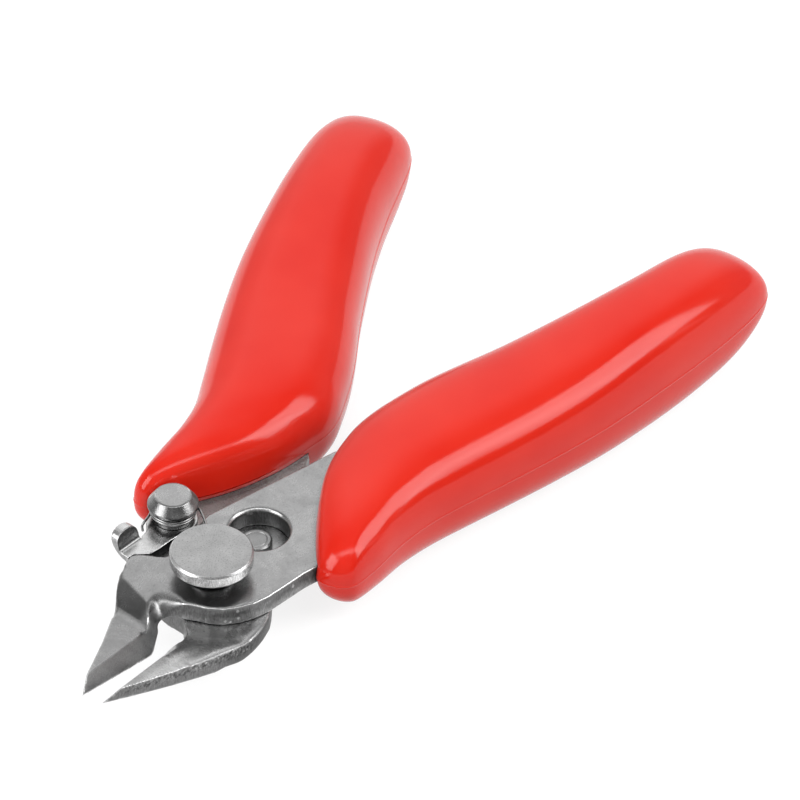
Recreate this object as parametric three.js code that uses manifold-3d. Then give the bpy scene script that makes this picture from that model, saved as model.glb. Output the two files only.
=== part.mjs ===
// Small spring-opened flush cutter for electronics work: two pressed steel halves crossing at a
// headed pivot, jaws bent up so that the flush face is underneath, a stop pin working in a round
// window, a thumb latch on its own riveted post, and two moulded soft grips.
// Millimetres, in the free (spring-opened) pose. +X runs along the handles, +Y to the latch side,
// +Z up through the pivot head. The origin is the centre of the pivot head's flat top; the solids
// are drawn from the plane where the two plates meet and lowered by the head's height at the end.
import * as THREE from "three";
import { mergeVertices } from "three/addons/utils/BufferGeometryUtils.js";
import Module from "manifold-3d";

// ---------- driving dimensions ----------
const PLATE_T = 2.1; // stock thickness of each half
const RUN_GAP = 0.02; // each plate stands this far off the interface plane
const RIVET_FIT = 0.02; // radial clearance of a fixed shank
const TURNING_FIT = 0.05; // radial clearance of a part that turns on a shank

const TIP_X = -23.1;
const OPEN_HALF_DEG = 2.5; // each cutting edge stands this far off the centre line when free
const EDGE_GAP = 0.02; // light gap left at each cutting edge when the jaws are shut
const BEVEL_RUN = 0.68; // sideways run of the ground bevel per mm of height
// Jaw faces: a height z at x, and the rise per mm towards the tip.
const JAW_TOP = { x: -8.65, z: 1.05, slope: 0.2656 };
const JAW_FLUSH = { x: -9, z: -1.05, slope: 0.33 };

const PIVOT = { x: 0, y: 0 };
const PIVOT_SHANK_R = 1.7;
const PIVOT_NECK_R = 1.9;
const PIVOT_HEAD_R = 4.06;
const PIVOT_HEAD_Z0 = 3.46;
const PIVOT_HEAD_Z1 = 5.08;
const SPRING_LEG = { x: 2.0, y: 2.0 }; // outer leg of the return spring

const WINDOW = { x: 7.84, y: -0.75 }; // round window in the upper plate
const WINDOW_R = 2.9;
const STOP_PIN = { x: 7.87, y: -0.41 };
const STOP_PIN_R = 1.55;
const STOP_SHANK_R = STOP_PIN_R - 0.35;

const POST = { x: 6.15, y: 7.77 }; // latch post axis
const POST_SHANK_R = 1.5;
const LEVER_Z0 = 0.06;
const LEVER_Z1 = 1.15;

const wasm = await Module();
wasm.setup();
const { Manifold, Mesh: ManifoldMesh } = wasm;

// ---------- geometry conversion ----------
const toSolid = (geometry) => {
  const loose = geometry.index ? geometry.toNonIndexed() : geometry;
  const bare = new THREE.BufferGeometry().setAttribute("position", loose.getAttribute("position"));
  const welded = mergeVertices(bare, 1e-4);
  return new Manifold(
    new ManifoldMesh({
      numProp: 3,
      vertProperties: new Float32Array(welded.attributes.position.array),
      triVerts: new Uint32Array(welded.index.array),
    }),
  );
};
// Flat-shaded geometry of a solid.
const toGeometry = (solid) => {
  const mesh = solid.getMesh();
  const flat = new THREE.BufferGeometry()
    .setAttribute("position", new THREE.BufferAttribute(new Float32Array(mesh.vertProperties), 3))
    .setIndex(new THREE.BufferAttribute(new Uint32Array(mesh.triVerts), 1))
    .toNonIndexed();
  flat.computeVertexNormals();
  return flat;
};

// ---------- plane outlines: lists of [x, y] ----------
const radians = (degrees) => (degrees * Math.PI) / 180;
const arc = ({ x, y }, r, startDeg, endDeg, segments) =>
  Array.from({ length: segments + 1 }, (_, i) => {
    const angle = radians(startDeg + ((endDeg - startDeg) * i) / segments);
    return [x + r * Math.cos(angle), y + r * Math.sin(angle)];
  });
const circle = (centre, r, segments) => arc(centre, r, 0, 360, segments).slice(0, -1);
const mirrorY = (outline) => outline.map(([x, y]) => [x, -y]).reverse();
// A point turned about the pivot.
const spin = ([x, y], degrees) => {
  const angle = radians(degrees);
  const cos = Math.cos(angle);
  const sin = Math.sin(angle);
  return [x * cos - y * sin, x * sin + y * cos];
};
// Outward unit normal of the edge from one point to the next (counter-clockwise outline).
const edgeNormal = (from, to) => {
  const edge = new THREE.Vector2(to[0] - from[0], to[1] - from[1]).normalize();
  return new THREE.Vector2(edge.y, -edge.x);
};
// A counter-clockwise outline pushed outwards; the mitre at sharp corners is limited.
const grow = (outline, distance) =>
  outline.map((point, i) => {
    const before = outline[(i + outline.length - 1) % outline.length];
    const after = outline[(i + 1) % outline.length];
    const mitre = edgeNormal(before, point).add(edgeNormal(point, after));
    const reach = distance * Math.min(2, 2 / Math.max(0.4, mitre.lengthSq()));
    return [point[0] + mitre.x * reach, point[1] + mitre.y * reach];
  });

// ---------- solids ----------
const extrude = (outline, depth) =>
  new THREE.ExtrudeGeometry(new THREE.Shape(outline.map(([x, y]) => new THREE.Vector2(x, y))), {
    depth,
    bevelEnabled: false,
    curveSegments: 1,
  });
const prism = (outline, z0, z1) => toSolid(extrude(outline, z1 - z0).translate(0, 0, z0));
// Cutter for a round hole through everything at a point.
const bore = (centre, r, segments) => prism(circle(centre, r, segments), -9, 9);
// A profile of [radius, height] from bottom to top, starting and ending on the axis.
const turned = (profile, { x, y }, segments) => {
  const points = profile.map(([r, z]) => new THREE.Vector2(r, z));
  const geometry = new THREE.LatheGeometry(points, segments);
  geometry.rotateX(Math.PI / 2);
  geometry.translate(x, y, 0);
  return toSolid(geometry);
};
// Six-sided wire swept along a smooth curve through the points.
const wire = (points, r, steps) => {
  const path = points.map((point) => new THREE.Vector3(...point));
  const extrudePath = new THREE.CatmullRomCurve3(path, false, "centripetal");
  const section = new THREE.Shape(circle(PIVOT, r, 6).map(([x, y]) => new THREE.Vector2(x, y)));
  section.closePath();
  return toSolid(new THREE.ExtrudeGeometry(section, { steps, extrudePath, bevelEnabled: false }));
};

// ---------- planes: [a, b, c, d], positive where a*x + b*y + c*z + d > 0 ----------
// The solid on the positive side of a plane.
const above = ([a, b, c, d]) => {
  const normal = new THREE.Vector3(a, b, c);
  const length = normal.length();
  normal.divideScalar(length);
  const size = 300;
  const turn = new THREE.Quaternion().setFromUnitVectors(new THREE.Vector3(0, 0, 1), normal);
  const centre = normal.clone().multiplyScalar(-d / length + size / 2);
  const box = new THREE.BoxGeometry(size, size, size);
  box.applyMatrix4(new THREE.Matrix4().compose(centre, turn, new THREE.Vector3(1, 1, 1)));
  return toSolid(box);
};
const below = (plane) => above(plane.map((value) => -value));
const levelPlane = (z) => [0, 0, 1, -z];
const slopePlane = ({ x, z, slope }) => [slope, 0, 1, -(z + x * slope)];
const mirrorPlane = ([a, b, c, d]) => [a, -b, c, d];
// Through three points, positive side upwards.
const planeThrough = (...points) => {
  const [p, q, r] = points.map((point) => new THREE.Vector3(...point));
  const normal = q.sub(p).cross(r.sub(p));
  if (normal.z < 0) normal.negate();
  return [normal.x, normal.y, normal.z, -normal.dot(p)];
};

// ---------- outlines of the halves ----------
// Both are drawn with the jaw on +Y and the tang on -Y; the lower one is then mirrored.
const EDGE_TAN = Math.tan(radians(OPEN_HALF_DEG));
const CUTTING_EDGE = [TIP_X, -17, -10.9].map((x) => [x, EDGE_GAP - EDGE_TAN * x]);

// round the throat, from the cutting edge to the nose of the plate
const THROAT_UPPER = [
  [-10.1, 0.68], [-9.1, 1.0], [-8.0, 1.34], [-7.2, 1.52], [-6.6, 1.5], [-6.1, 1.3],
  [-5.6, 0.9], [-5.25, 0.4],
];
// the rounded nose of the plate, on the side away from its own jaw
const NOSE_SHARED = [
  [-4.98, -0.25], [-4.75, -1.1], [-4.55, -2.24], [-3.97, -3.57], [-3.0, -4.68],
  [-1.78, -5.65], [-0.18, -6.4],
];
const NOSE_UPPER = [...NOSE_SHARED, [1.2, -6.78], [2.43, -7.13], [4.42, -7.66], [6.37, -8.44]];
// the first point of the tang, where it leaves the nose; the lower half does without it
const TANG_START = [9.5, -10.2];
// the tang inside the grip, out along its outer side and back along its inner side
const TANG = [
  [14, -11.1], [20, -11.2], [27, -12.2], [34, -14.6], [42, -17.3], [50, -19.4], [56, -20.6],
  [57.6, -19.6], [57.9, -17.6], [56.6, -16.2], [50, -14.6], [42, -12.0], [34, -8.7],
  [28, -5.8], [23.5, -3.2],
];
const TANG_UPPER_TURN_DEG = -2.4;
// the straight inner edge of the handle, back towards the pivot and past the window
const INNER_EDGE = [[21.4, -1.42], [20.25, -0.92], [13.02, 2.17], [7.3, 4.55], [6.1, 4.62]];
// clear of the latch, to the corner the latch works against
const LATCH_SIDE = [
  [4.6, 4.7], [2.2, 4.85], [0.6, 4.9], [0.04, 5.05], [-0.3, 5.75], [-0.52, 6.44],
  [-1.0, 7.5], [-1.2, 7.8], [-1.5, 8.0], [-1.95, 8.07],
];
const JAW_OUTER_UPPER = [
  [-3.51, 7.85], [-4.16, 7.81], [-5.9, 7.1], [-7.64, 6.28], [-10.35, 5.3], [-14.1, 3.98],
  [-17.2, 3.02], [-20.7, 1.92],
];
const UPPER_OUTLINE = [
  ...CUTTING_EDGE, ...THROAT_UPPER, ...NOSE_UPPER,
  ...[TANG_START, ...TANG].map((point) => spin(point, TANG_UPPER_TURN_DEG)),
  ...INNER_EDGE, ...LATCH_SIDE, ...JAW_OUTER_UPPER,
];

// The lower half is wider where it carries the latch post, its throat is shallower, and its jaw
// runs round to the pivot in one curve because there is no latch notch.
const THROAT_LOWER = [
  [-10.0, 0.58], [-9.0, 0.74], [-8.0, 0.9], [-7.2, 0.95], [-6.5, 0.8], [-5.95, 0.45],
  [-5.5, 0.05], [-5.2, -0.15],
];
const NOSE_LOWER = [
  ...NOSE_SHARED, [1.5, -7.25], [3.0, -8.2], [4.3, -9.05], [5.4, -9.7], [7.2, -10.3],
];
const JAW_OUTER_LOWER = [
  [4.6, 4.75], [3.2, 4.95], [2.0, 5.5], [0.8, 6.1], [-0.43, 6.6], [-1.6, 6.88], [-2.73, 7.0],
  [-3.8, 6.96], [-4.9, 6.82], [-6.24, 6.55], [-8.35, 6.0], [-11.6, 5.1], [-14.8, 4.1],
  [-17.8, 3.05], [-20.7, 1.95],
];
const LOWER_OUTLINE = mirrorY([
  ...CUTTING_EDGE, ...THROAT_LOWER, ...NOSE_LOWER, ...TANG, ...INNER_EDGE, ...JAW_OUTER_LOWER,
]);

// ---------- the two pressed halves ----------
const JAW_TOP_PLANE = slopePlane(JAW_TOP);
const JAW_FLUSH_PLANE = slopePlane(JAW_FLUSH);
// The ground bevel rises from the cutting edge; the metal is on the positive side.
const BEVEL_PLANE = [
  EDGE_TAN - BEVEL_RUN * JAW_FLUSH.slope,
  1,
  -BEVEL_RUN,
  -EDGE_GAP - BEVEL_RUN * (JAW_FLUSH.x * JAW_FLUSH.slope - JAW_FLUSH.z),
];
// The sign of x in the last term follows from the flush face's height at x = 0.
BEVEL_PLANE[3] = -EDGE_GAP + BEVEL_RUN * (JAW_FLUSH.z + JAW_FLUSH.x * JAW_FLUSH.slope);

// The plane of a bend between plate and jaw, from the shoulder line to a point on the crease.
const rampPlane = (shoulderZ, creaseZ) =>
  planeThrough([-4.16, 7.81, shoulderZ], [-6.5, 3.28, shoulderZ], [JAW_TOP.x, 4.05, creaseZ]);
const blank = (outline) => prism(outline, -6, 9);

// The plate lies above the interface and drops to its jaw.
const makeUpper = () => {
  const stock = blank(UPPER_OUTLINE);
  const plate = stock
    .subtract(above(levelPlane(PLATE_T)))
    .subtract(above(rampPlane(PLATE_T, JAW_TOP.z)));
  const rampUnderside = rampPlane(RUN_GAP, JAW_TOP.z - PLATE_T + RUN_GAP);
  const throatEnd = [-1, 0, 0.55, -5.2 - 0.55 * PLATE_T]; // the bevel cut's limit on the pivot side
  const rim = [
    [0, PLATE_T - 0.35], [WINDOW_R - 0.05, PLATE_T - 0.35],
    [WINDOW_R + 0.4, PLATE_T + 0.1], [0, PLATE_T + 0.1],
  ];
  return plate
    .add(stock.subtract(above(JAW_TOP_PLANE)))
    .subtract(below(levelPlane(RUN_GAP)).intersect(below(rampUnderside)))
    .subtract(below(JAW_FLUSH_PLANE))
    .subtract(below(BEVEL_PLANE).intersect(above(throatEnd)))
    .subtract(bore(PIVOT, PIVOT_SHANK_R + TURNING_FIT, 56))
    .subtract(bore(WINDOW, WINDOW_R, 56))
    .subtract(turned(rim, WINDOW, 56)) // countersink
    .subtract(bore(SPRING_LEG, 0.42, 20));
};

// The plate lies below the interface and rises to its jaw.
const makeLower = () => {
  const stock = blank(LOWER_OUTLINE);
  const plate = stock.subtract(above(levelPlane(-RUN_GAP)));
  const jaw = stock
    .subtract(above(mirrorPlane(rampPlane(-RUN_GAP, JAW_TOP.z))))
    .subtract(above(JAW_TOP_PLANE));
  // the bevel of this jaw stops short of the throat
  const bevelStop = planeThrough([-7.2, -0.9, 0.35], [-9.9, -2.15, 1.38], [-10.9, -0.49, -0.42]);
  const bevelCut = below(mirrorPlane(BEVEL_PLANE))
    .intersect(above(bevelStop))
    .intersect(above([-1, 0, 0, -7.0]));
  return plate
    .add(jaw)
    .subtract(below(levelPlane(-PLATE_T)))
    .subtract(below(JAW_FLUSH_PLANE))
    .subtract(bevelCut)
    .subtract(bore(PIVOT, PIVOT_SHANK_R + RIVET_FIT, 56))
    .subtract(bore(STOP_PIN, STOP_SHANK_R + RIVET_FIT, 40))
    .subtract(bore(POST, POST_SHANK_R + RIVET_FIT, 40));
};

// ---------- pivot ----------
const makeRivet = () => {
  const profile = [
    [0, -2.85], [2.3, -2.85], [2.9, -2.62], [3.1, -2.32], [3.1, -2.15],
    [PIVOT_SHANK_R, -2.15], [PIVOT_SHANK_R, 2.15],
    [PIVOT_NECK_R, 2.15], [PIVOT_NECK_R, PIVOT_HEAD_Z0],
    [3.7, PIVOT_HEAD_Z0], [3.95, PIVOT_HEAD_Z0 + 0.12], [PIVOT_HEAD_R, PIVOT_HEAD_Z0 + 0.4],
    [PIVOT_HEAD_R, PIVOT_HEAD_Z1 - 0.3], [4.0, PIVOT_HEAD_Z1 - 0.12],
    [3.85, PIVOT_HEAD_Z1], [0, PIVOT_HEAD_Z1],
  ];
  // slot in the neck that holds the return spring's inner end
  const slot = prism([[-3.0, -0.5], [-0.7, -0.5], [-0.7, 0.5], [-3.0, 0.5]], 2.45, 3.3);
  return turned(profile, PIVOT, 64).subtract(slot);
};

// Torsion spring round the neck: inner end in the neck's slot, outer end down into the upper plate.
const makeReturnSpring = () => {
  const turns = 1.625;
  const coilR = 2.2;
  const topZ = 2.92;
  const pitch = 0.37;
  const coilPoints = 30;
  const points = [[-1.1, 0.12, topZ], [-1.7, 0.12, topZ], [-2.12, -0.02, topZ]];
  for (let i = 1; i <= coilPoints; i++) {
    const turn = (turns * i) / coilPoints;
    const angle = Math.PI + 2 * Math.PI * turn;
    points.push([coilR * Math.cos(angle), coilR * Math.sin(angle), topZ - pitch * turn]);
  }
  const { x, y } = SPRING_LEG;
  points.push([1.9, 1.98, 2.2], [x, y, 1.85], [x, y, 0.9]);
  return wire(points, 0.17, 110);
};

// ---------- stop pin ----------
const makeStopPin = () => {
  const profile = [
    [0, -2.04], [STOP_SHANK_R, -2.04], [STOP_SHANK_R, 0], [STOP_PIN_R, 0], [STOP_PIN_R, 0.5],
    [STOP_PIN_R - 0.18, 0.68], [0, 0.68],
  ];
  return turned(profile, STOP_PIN, 40);
};

// ---------- latch ----------
const makePost = () => {
  const profile = [
    [0, -2.06], [POST_SHANK_R, -2.06], [POST_SHANK_R, 1.22], [1.85, 1.22], [1.85, 2.78],
    [2.4, 2.78], [2.48, 2.86], [2.48, 3.08], [2.43, 3.16], [1.78, 4.04], [1.66, 4.1], [0, 4.1],
  ];
  return turned(profile, POST, 56);
};

// The lever's thumb tab: the sheet curls up and leans outwards.
const makeThumbTab = () => {
  const centre = new THREE.Vector3(0.82, 10.0, 0);
  const along = new THREE.Vector3(0.972, -0.235, 0).normalize();
  const outward = new THREE.Vector3(-along.y, along.x, 0);
  const up = new THREE.Vector3(0, 0, 1);
  const halfWidth = 1.42;
  const lean = 0.36; // radians off upright
  const topZ = 3.05;
  const thickness = 0.8;
  const rootOut = -1.76; // where the tab starts, inside the lever

  // A prism standing over the tab's centre, its outline drawn across against height.
  const standing = (outline, across, depth) => {
    const normal = new THREE.Vector3().crossVectors(across, up);
    const start = centre.clone().addScaledVector(normal, -depth / 2);
    const frame = new THREE.Matrix4().makeBasis(across, up, normal).setPosition(start);
    return toSolid(extrude(outline, depth).applyMatrix4(frame));
  };

  const outerFace = (z) => (z - 0.62) * Math.tan(lean);
  const innerFace = (z) => outerFace(z) - thickness / Math.cos(lean);
  // Arc tangent to the level z and to the leaning line that meets it at out.
  const bend = (out, z, r, segments) => {
    const fullTurn = Math.PI / 2 - lean;
    const startOut = out - r * Math.tan(fullTurn / 2);
    return Array.from({ length: segments + 1 }, (_, i) => {
      const angle = (fullTurn * i) / segments;
      return [startOut + r * Math.sin(angle), z + r - r * Math.cos(angle)];
    });
  };
  const profile = [
    [rootOut, LEVER_Z0 + 0.012],
    ...bend(outerFace(0.4), 0.4, 2.3, 9).slice(1),
    [outerFace(topZ), topZ], [innerFace(topZ - 0.28), topZ + 0.02],
    ...bend(innerFace(LEVER_Z1), LEVER_Z1, 0.45, 4).reverse(),
    [rootOut, LEVER_Z1],
  ];

  // face view that rounds the free end
  const wide = halfWidth + 0.1;
  const face = [[-wide, -1], [wide, -1], [wide, 1.6], [halfWidth, 1.75]];
  for (let i = 1; i < 12; i++) {
    const angle = (Math.PI * i) / 12;
    face.push([halfWidth * Math.cos(angle), 1.9 + 1.02 * Math.sin(angle)]);
  }
  face.push([-halfWidth, 1.75], [-wide, 1.6]);

  return standing(profile, outward, 2 * halfWidth).intersect(standing(face, along, 8));
};

const makeLever = () => {
  const outline = [
    [-0.96, 8.72], [-0.62, 8.62], [-0.25, 8.45], [-0.05, 8.05], [0.55, 7.12], [1.6, 6.72],
    [3.21, 6.35],
    ...arc(POST, 2.38, -128, 118, 26),
    [4.3, 9.72], [3.75, 9.3], [3.1, 9.05], [2.45, 9.12], [2.12, 8.95], [1.8, 8.01],
  ];
  return prism(outline, LEVER_Z0, LEVER_Z1)
    .add(makeThumbTab())
    .subtract(bore(POST, POST_SHANK_R + TURNING_FIT, 48));
};

// Light torsion spring under the post's head: one end on the lever's edge, the other round the
// pivot's neck.
const makeLatchSpring = () => {
  const coilR = 2.12;
  const coilPoints = 34;
  const startDeg = 120;
  const sweepDeg = -(360 * 2 + 190);
  const onCoil = (degrees, r, z) => {
    const angle = radians(degrees);
    return [POST.x + r * Math.cos(angle), POST.y + r * Math.sin(angle), z];
  };
  // hook over the lever's outer edge
  const points = [[3.52, 9.62, 0.72], [3.5, 9.66, 1.3], [3.78, 9.6, 1.62], onCoil(128, 2.3, 1.78)];
  for (let i = 1; i <= coilPoints; i++) {
    const part = i / coilPoints;
    points.push(onCoil(startDeg + sweepDeg * part, coilR, 1.82 + 0.72 * part));
  }
  // long leg to the pivot's neck
  points.push(
    [7.0, 5.35, 2.66], [5.6, 3.95, 2.86], [4.3, 2.95, 3.14], [3.1, 2.1, 3.29],
    [1.7, 1.28, 3.29], [0.6, 2.0, 3.29], [-0.6, 2.02, 3.29],
  );
  return wire(points, 0.13, 200);
};

// ---------- grips ----------
// Stations of the +Y grip from the mouth to the rounded end:
// outer point, inner point, half thickness, squareness (superellipse exponent).
const GRIP_STATIONS = [
  [[7.3, 10.95], [18.7, 2.95], 2.5, 2.4],
  [[6.95, 11.05], [18.6, 2.45], 3.2, 2.4],
  [[6.65, 11.45], [19.15, 1.97], 3.8, 2.5],
  [[6.7, 12.2], [20.45, 1.53], 4.35, 2.5],
  [[7.75, 12.95], [22.3, 1.2], 4.8, 2.6],
  [[10.9, 13.0], [24.55, 1.0], 5.2, 2.6],
  [[15.0, 12.8], [26.9, 1.37], 5.65, 2.6],
  [[19.1, 13.2], [29.5, 2.1], 6.0, 2.6],
  [[23.4, 14.6], [32.4, 3.05], 6.13, 2.6],
  [[28.3, 16.35], [35.8, 4.45], 6.15, 2.6],
  [[34.0, 18.25], [39.7, 6.25], 6.2, 2.6],
  [[40.05, 19.95], [44.3, 8.15], 6.35, 2.6],
  [[46.4, 21.2], [49.5, 10.15], 6.5, 2.6],
  [[52.2, 22.2], [54.8, 11.8], 6.4, 2.5],
  [[57.7, 22.85], [59.7, 13.0], 5.8, 2.5],
  [[61.35, 22.95], [62.65, 13.75], 4.75, 2.4],
  [[63.8, 22.55], [64.6, 14.7], 3.25, 2.3],
  [[65.1, 21.4], [65.45, 16.3], 1.6, 2.2],
];
const GRIP_SIDES = 28;
const GRIP_WALL_GAP = 0.05; // between tang and the grip's pocket
const GRIP_REST_Z = -5.05; // flat underside of both grips, where the tool rests on a bench
const MOUTH_BOW = 0.5; // the mouth bows this far towards the pivot
const MOUTH_DIR = [-0.52, -0.85]; // direction of the bow and the mouth shift on the +Y grip

const signedPower = (value, power) => Math.sign(value) * Math.pow(Math.abs(value), power);

// One ring of [x, y, z] points round a grip.
const gripRing = ([outer, inner, halfThickness, squareness], k, grip) => {
  const { side, turnDeg, mouthShift, midZ } = grip;
  const shift = mouthShift * Math.max(0, 1 - k / 7); // fades out over seven stations
  const bow = MOUTH_BOW * Math.max(0, 1 - k / 5);
  const [dirX, dirY] = MOUTH_DIR;
  const place = ([x, y], amount) => spin([x + dirX * amount, side * (y + dirY * amount)], turnDeg);
  const [outerX, outerY] = place(outer, shift);
  const [innerX, innerY] = place(inner, shift * 0.4);
  return Array.from({ length: GRIP_SIDES }, (_, j) => {
    const angle = (2 * Math.PI * (j + 0.5)) / GRIP_SIDES;
    const across = signedPower(Math.cos(angle), 2 / squareness);
    const height = signedPower(Math.sin(angle), 2 / squareness);
    const bulge = bow * (1 - across * across);
    return [
      (outerX + innerX) / 2 + ((outerX - innerX) / 2) * across + dirX * bulge,
      (outerY + innerY) / 2 + ((outerY - innerY) / 2) * across + side * dirY * bulge,
      Math.max(midZ + halfThickness * height, GRIP_REST_Z),
    ];
  });
};

const makeGripBody = (grip) => {
  const { side } = grip;
  const rings = GRIP_STATIONS.map((station, k) => gripRing(station, k, grip));
  const centre = (ring) => [0, 1, 2].map((axis) => ring.reduce((s, p) => s + p[axis], 0) / GRIP_SIDES);
  const [endX, endY, endZ] = centre(rings.at(-1));
  const points = [...rings.flat(), centre(rings[0]), [endX + 0.35, endY + side * 0.1, endZ]];

  const mouthCentre = rings.length * GRIP_SIDES;
  const endCentre = mouthCentre + 1;
  const lastRing = mouthCentre - GRIP_SIDES;
  const index = [];
  // the winding is reversed on the +Y side so that faces point outwards
  const triangle = (a, b, c) => index.push(...(side < 0 ? [a, b, c] : [a, c, b]));
  for (let j = 0; j < GRIP_SIDES; j++) {
    const next = (j + 1) % GRIP_SIDES;
    for (let start = 0; start < lastRing; start += GRIP_SIDES) {
      const far = start + GRIP_SIDES;
      triangle(start + j, far + j, far + next);
      triangle(start + j, far + next, start + next);
    }
    triangle(mouthCentre, j, next);
    triangle(endCentre, lastRing + next, lastRing + j);
  }
  const geometry = new THREE.BufferGeometry();
  geometry.setAttribute("position", new THREE.Float32BufferAttribute(points.flat(), 3));
  geometry.setIndex(index);
  return toSolid(geometry);
};
const pocket = (outline, z0, z1) =>
  prism(grow(outline, GRIP_WALL_GAP), z0 - GRIP_WALL_GAP, z1 + GRIP_WALL_GAP);

const makeLatchSideGrip = () =>
  makeGripBody({ side: 1, turnDeg: 0, mouthShift: 0, midZ: 0.5 }).subtract(
    pocket(LOWER_OUTLINE, -PLATE_T, -RUN_GAP),
  );
// Sits wider than its mirror image, with its mouth nearer the pivot.
const makeWindowSideGrip = () =>
  makeGripBody({ side: -1, turnDeg: -3.1, mouthShift: 3.0, midZ: 1.0 }).subtract(
    pocket(UPPER_OUTLINE, RUN_GAP, PLATE_T),
  );

// ---------- materials ----------
const steel = ({ color, roughness }) =>
  new THREE.MeshStandardMaterial({ color, roughness, metalness: 1 });
const springSteel = () => steel({ color: 0x8a8c8e, roughness: 0.3 });
const redGrip = () =>
  new THREE.MeshStandardMaterial({ color: 0xe23a28, roughness: 0.22, metalness: 0 });

// ---------- assembly ----------
const root = new THREE.Group();
root.name = "flush_cutter";
const put = (name, solid, material) => {
  const mesh = new THREE.Mesh(toGeometry(solid), material);
  mesh.name = name;
  mesh.position.z = -PIVOT_HEAD_Z1;
  root.add(mesh);
};
put("upper_half", makeUpper(), steel({ color: 0x9a9a9a, roughness: 0.38 }));
put("lower_half", makeLower(), steel({ color: 0x949494, roughness: 0.4 }));
put("pivot_rivet", makeRivet(), steel({ color: 0xa6a6a3, roughness: 0.35 }));
put("return_spring", makeReturnSpring(), springSteel());
put("stop_pin", makeStopPin(), steel({ color: 0x9c9c9c, roughness: 0.35 }));
put("latch_post", makePost(), steel({ color: 0xb0b0ae, roughness: 0.25 }));
put("latch_lever", makeLever(), steel({ color: 0x929292, roughness: 0.35 }));
put("latch_spring", makeLatchSpring(), springSteel());
put("latch_side_grip", makeLatchSideGrip(), redGrip());
put("window_side_grip", makeWindowSideGrip(), redGrip());

export default root;
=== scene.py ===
"""A small two-plate hand tool: two pressed steel halves on a pivot rivet, a latch lever on a post,
two wire springs and two glossy red vinyl grips.

Shapes are in millimetres. The plates rub at z = 0, the pivot stands on the z axis, the jaws point
to -x and the grips to +x. The upper half's grip is on the -y side, the lower half's on the +y side.
"""
import math

import bmesh
import bpy
import numpy as np
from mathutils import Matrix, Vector


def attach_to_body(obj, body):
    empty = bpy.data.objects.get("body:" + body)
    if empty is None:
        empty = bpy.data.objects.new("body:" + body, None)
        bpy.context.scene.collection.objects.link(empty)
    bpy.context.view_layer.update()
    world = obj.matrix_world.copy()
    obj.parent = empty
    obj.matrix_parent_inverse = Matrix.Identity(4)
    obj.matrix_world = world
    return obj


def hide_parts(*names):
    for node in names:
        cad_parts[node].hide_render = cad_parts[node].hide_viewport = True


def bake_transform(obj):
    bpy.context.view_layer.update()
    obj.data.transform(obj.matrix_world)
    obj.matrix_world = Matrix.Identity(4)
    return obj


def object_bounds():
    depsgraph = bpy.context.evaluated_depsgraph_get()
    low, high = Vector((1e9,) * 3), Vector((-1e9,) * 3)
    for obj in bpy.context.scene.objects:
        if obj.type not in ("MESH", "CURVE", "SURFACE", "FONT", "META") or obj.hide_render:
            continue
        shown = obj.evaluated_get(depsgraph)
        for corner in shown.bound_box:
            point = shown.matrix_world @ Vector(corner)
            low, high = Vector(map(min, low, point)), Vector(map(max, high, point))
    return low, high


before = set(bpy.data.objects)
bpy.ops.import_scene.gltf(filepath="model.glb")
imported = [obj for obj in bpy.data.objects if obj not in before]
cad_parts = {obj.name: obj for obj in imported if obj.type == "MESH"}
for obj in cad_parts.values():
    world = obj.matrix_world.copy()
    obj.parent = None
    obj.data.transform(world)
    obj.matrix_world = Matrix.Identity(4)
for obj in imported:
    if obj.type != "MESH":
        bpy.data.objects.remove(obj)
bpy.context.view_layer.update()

MM = 0.001
LIFT = 5.08
PLATE_GAP = 0.02  # each plate's rubbing face stands this far from z = 0
PLATE_TOP = 2.105  # outer face of a plate, measured from z = 0
POST_AT = (6.15, 7.77)
PIN_AT = (7.87, -0.41)
OPENING_AT = (7.84, -0.75)  # round opening in the upper plate, over the stop pin
FILLET_STEPS = 5
WIRE_STEPS, WIRE_SIDES = 6, 14


# ------------------------------------------------------------------ objects
def attach(name, mesh, body, node, material):
    """Hangs a mesh on its body; a tuple as body is not read, and the mesh is only baked in place.
    """
    obj = bpy.data.objects.new(name, mesh)
    bpy.context.scene.collection.objects.link(obj)
    mesh.materials.append(material)
    if isinstance(body, str):
        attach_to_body(obj, body)
    else:
        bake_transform(obj)
    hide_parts(node)


def add_solid(name, bm, body, node, material, smooth_degrees):
    """Scales a millimetre bmesh to metres, shades it smooth up to an angle, and attaches it."""
    bmesh.ops.translate(bm, vec=(0, 0, -LIFT), verts=bm.verts)
    bmesh.ops.scale(bm, vec=(MM, MM, MM), verts=bm.verts)
    bmesh.ops.recalc_face_normals(bm, faces=bm.faces)
    limit = math.radians(smooth_degrees)
    for face in bm.faces:
        face.smooth = True
    for edge in bm.edges:
        if len(edge.link_faces) == 2:
            one, other = edge.link_faces
            edge.smooth = one.normal.angle(other.normal, 0.0) < limit
    mesh = bpy.data.meshes.new(name)
    bm.to_mesh(mesh)
    bm.free()
    attach(name, mesh, body, node, material)


# ------------------------------------------------------------------ bmesh builders
def bm_from(points, faces):
    bm = bmesh.new()
    verts = [bm.verts.new(point) for point in points]
    for face in faces:
        bm.faces.new([verts[i] for i in face])
    bm.normal_update()
    bmesh.ops.recalc_face_normals(bm, faces=bm.faces)
    return bm


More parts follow.
